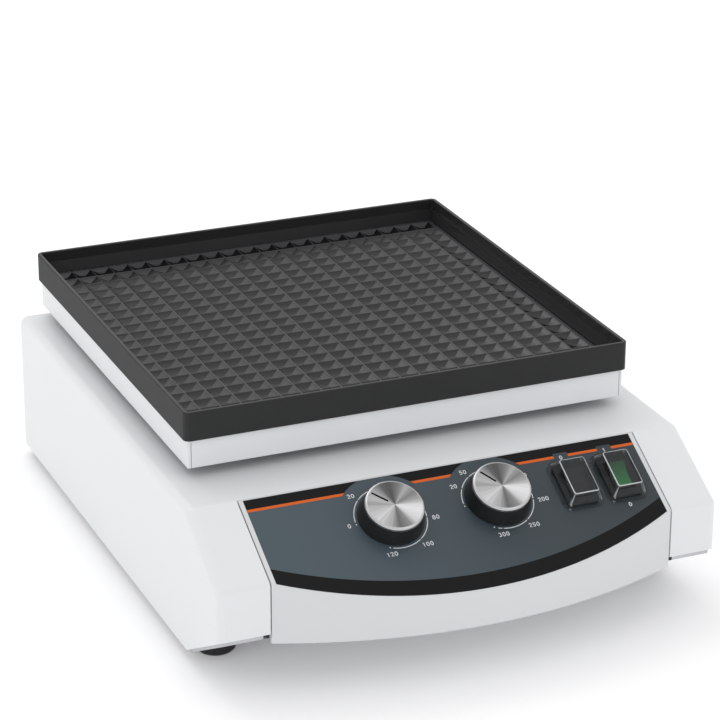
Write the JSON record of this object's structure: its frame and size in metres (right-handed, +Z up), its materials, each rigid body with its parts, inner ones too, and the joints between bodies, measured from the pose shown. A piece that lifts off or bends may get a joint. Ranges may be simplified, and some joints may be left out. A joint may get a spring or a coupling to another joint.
{
  "type": "orbital shaker",
  "caption": "Laboratory shaker whose square tray with a pitted grip mat circles level on a crank above a low housing with a sloping, bowed console of dials and covered rockers.",
  "frame": {"origin": "on the bench, below the middle of the whole outline", "axes": "+X to the user's right, +Y to the back (the controls face -Y), +Z up"},
  "size_m": [0.32, 0.4116, 0.1438],
  "materials": {
    "housing_paint": "smooth pale grey paint",
    "console_plastic": "smooth pale grey moulding",
    "platform_paint": "smooth pale grey paint",
    "panel_print": "printed slate film",
    "pan_steel": "plain zinc-coated sheet",
    "cast_aluminium": "machined",
    "bearing_steel": "ground",
    "screw_steel": "zinc",
    "shaft_steel": "turned",
    "iron_weight": "black cast iron",
    "motor_paint": "satin black",
    "bush_bronze": "plain",
    "belt_rubber": "flat black",
    "black_plastic": "black moulding",
    "green_plastic": "translucent green",
    "clear_plastic": "clear moulding",
    "board_green": "green laminate with parts",
    "knob_plastic": "satin black moulding",
    "cap_aluminium": "spun",
    "tray_plastic": "dark grey moulding",
    "mat_rubber": "dark grey pitted rubber",
    "foot_rubber": "black rubber"
  },
  "bodies": {
    "root": {"housing_cover": "housing_paint", "front_console": "console_plastic", "control_panel": "panel_print", "base_pan": "pan_steel", "chassis_plate": "pan_steel", "main_bearing_housing": "cast_aluminium", "idler_column_left": "cast_aluminium", "idler_column_right": "cast_aluminium", "idler_column_front": "cast_aluminium", "motor_mount": "cast_aluminium", "lower_bearing": "bearing_steel", "upper_bearing": "bearing_steel", "idler_bearings": "bearing_steel", "column_screws": "screw_steel", "motor_screws": "screw_steel", "board_screws": "screw_steel", "board_pillars": "screw_steel", "inlet_screws": "screw_steel", "foot_screws": "screw_steel", "cover_screws": "screw_steel", "spindle_nuts": "screw_steel", "motor": "motor_paint", "drive_belt": "belt_rubber", "timer_unit": "black_plastic", "speed_unit": "black_plastic", "timer_switch": "black_plastic", "power_switch": "black_plastic", "mains_inlet": "black_plastic", "timer_splash_cover": "clear_plastic", "power_splash_cover": "clear_plastic", "control_board": "board_green", "foot_front_left": "foot_rubber", "foot_front_right": "foot_rubber", "foot_back_left": "foot_rubber", "foot_back_right": "foot_rubber"},
    "crank": {"drive_shaft": "shaft_steel", "crank_disc": "shaft_steel", "drive_pulley": "cast_aluminium", "counterweight": "iron_weight"},
    "platform": {"platform_pan": "platform_paint", "platform_hub": "cast_aluminium", "hub_bearing": "bearing_steel", "platform_bosses": "cast_aluminium", "idler_bushes": "bush_bronze", "platform_screws": "screw_steel", "tray": "tray_plastic", "grip_mat": "mat_rubber"},
    "idler_left": {"idler_crank_left": "shaft_steel"},
    "idler_right": {"idler_crank_right": "shaft_steel"},
    "idler_front": {"idler_crank_front": "shaft_steel"},
    "motor_rotor": {"motor_shaft": "shaft_steel", "motor_pulley": "cast_aluminium"},
    "timer_dial": {"timer_knob": "knob_plastic", "timer_knob_cap": "cap_aluminium", "timer_spindle": "shaft_steel"},
    "speed_dial": {"speed_knob": "knob_plastic", "speed_knob_cap": "cap_aluminium", "speed_spindle": "shaft_steel"},
    "timer_key": {"timer_rocker": "black_plastic"},
    "power_key": {"power_rocker": "green_plastic"}
  },
  "joints": [
    {"name": "crank_turn", "type": "hinge", "parent": "root", "child": "crank", "pos_m": [0, 0.0444, 0.06], "axis": [0, 0, 1], "continuous": true},
    {"name": "platform_orbit", "type": "hinge", "parent": "crank", "child": "platform", "pos_m": [-0.00199, 0.0542, 0.114], "axis": [0, 0, 1], "continuous": true},
    {"name": "motor_turn", "type": "hinge", "parent": "root", "child": "motor_rotor", "pos_m": [-0.085, -0.02525, 0.06], "axis": [0, 0, 1], "continuous": true},
    {"name": "idler_left_turn", "type": "hinge", "parent": "root", "child": "idler_left", "pos_m": [-0.1, 0.1294, 0.06], "axis": [0, 0, 1], "continuous": true},
    {"name": "idler_right_turn", "type": "hinge", "parent": "root", "child": "idler_right", "pos_m": [0.1, 0.1294, 0.06], "axis": [0, 0, 1], "continuous": true},
    {"name": "idler_front_turn", "type": "hinge", "parent": "root", "child": "idler_front", "pos_m": [0, -0.0506, 0.06], "axis": [0, 0, 1], "continuous": true},
    {"name": "timer_knob_turn", "type": "hinge", "parent": "root", "child": "timer_dial", "pos_m": [-0.0432, -0.15281, 0.08563], "axis": [0, -0.4842, 0.8749], "range_deg": [-247, 46]},
    {"name": "speed_knob_turn", "type": "hinge", "parent": "root", "child": "speed_dial", "pos_m": [0.0256, -0.15281, 0.08563], "axis": [0, -0.4842, 0.8749], "range_deg": [-245, 54]},
    {"name": "timer_rocker_tilt", "type": "hinge", "parent": "root", "child": "timer_key", "pos_m": [0.0769, -0.15323, 0.08597], "axis": [1, 0, 0], "range_deg": [-20, 0]},
    {"name": "power_rocker_tilt", "type": "hinge", "parent": "root", "child": "power_key", "pos_m": [0.106, -0.15323, 0.08597], "axis": [1, 0, 0], "range_deg": [-20, 0]}
  ],
  "couplings": [
    {"joint": "platform_orbit", "follows": "crank_turn", "ratio": -1},
    {"joint": "motor_turn", "follows": "crank_turn", "ratio": 4.5455},
    {"joint": "idler_left_turn", "follows": "crank_turn", "ratio": 1},
    {"joint": "idler_right_turn", "follows": "crank_turn", "ratio": 1},
    {"joint": "idler_front_turn", "follows": "crank_turn", "ratio": 1}
  ]
}
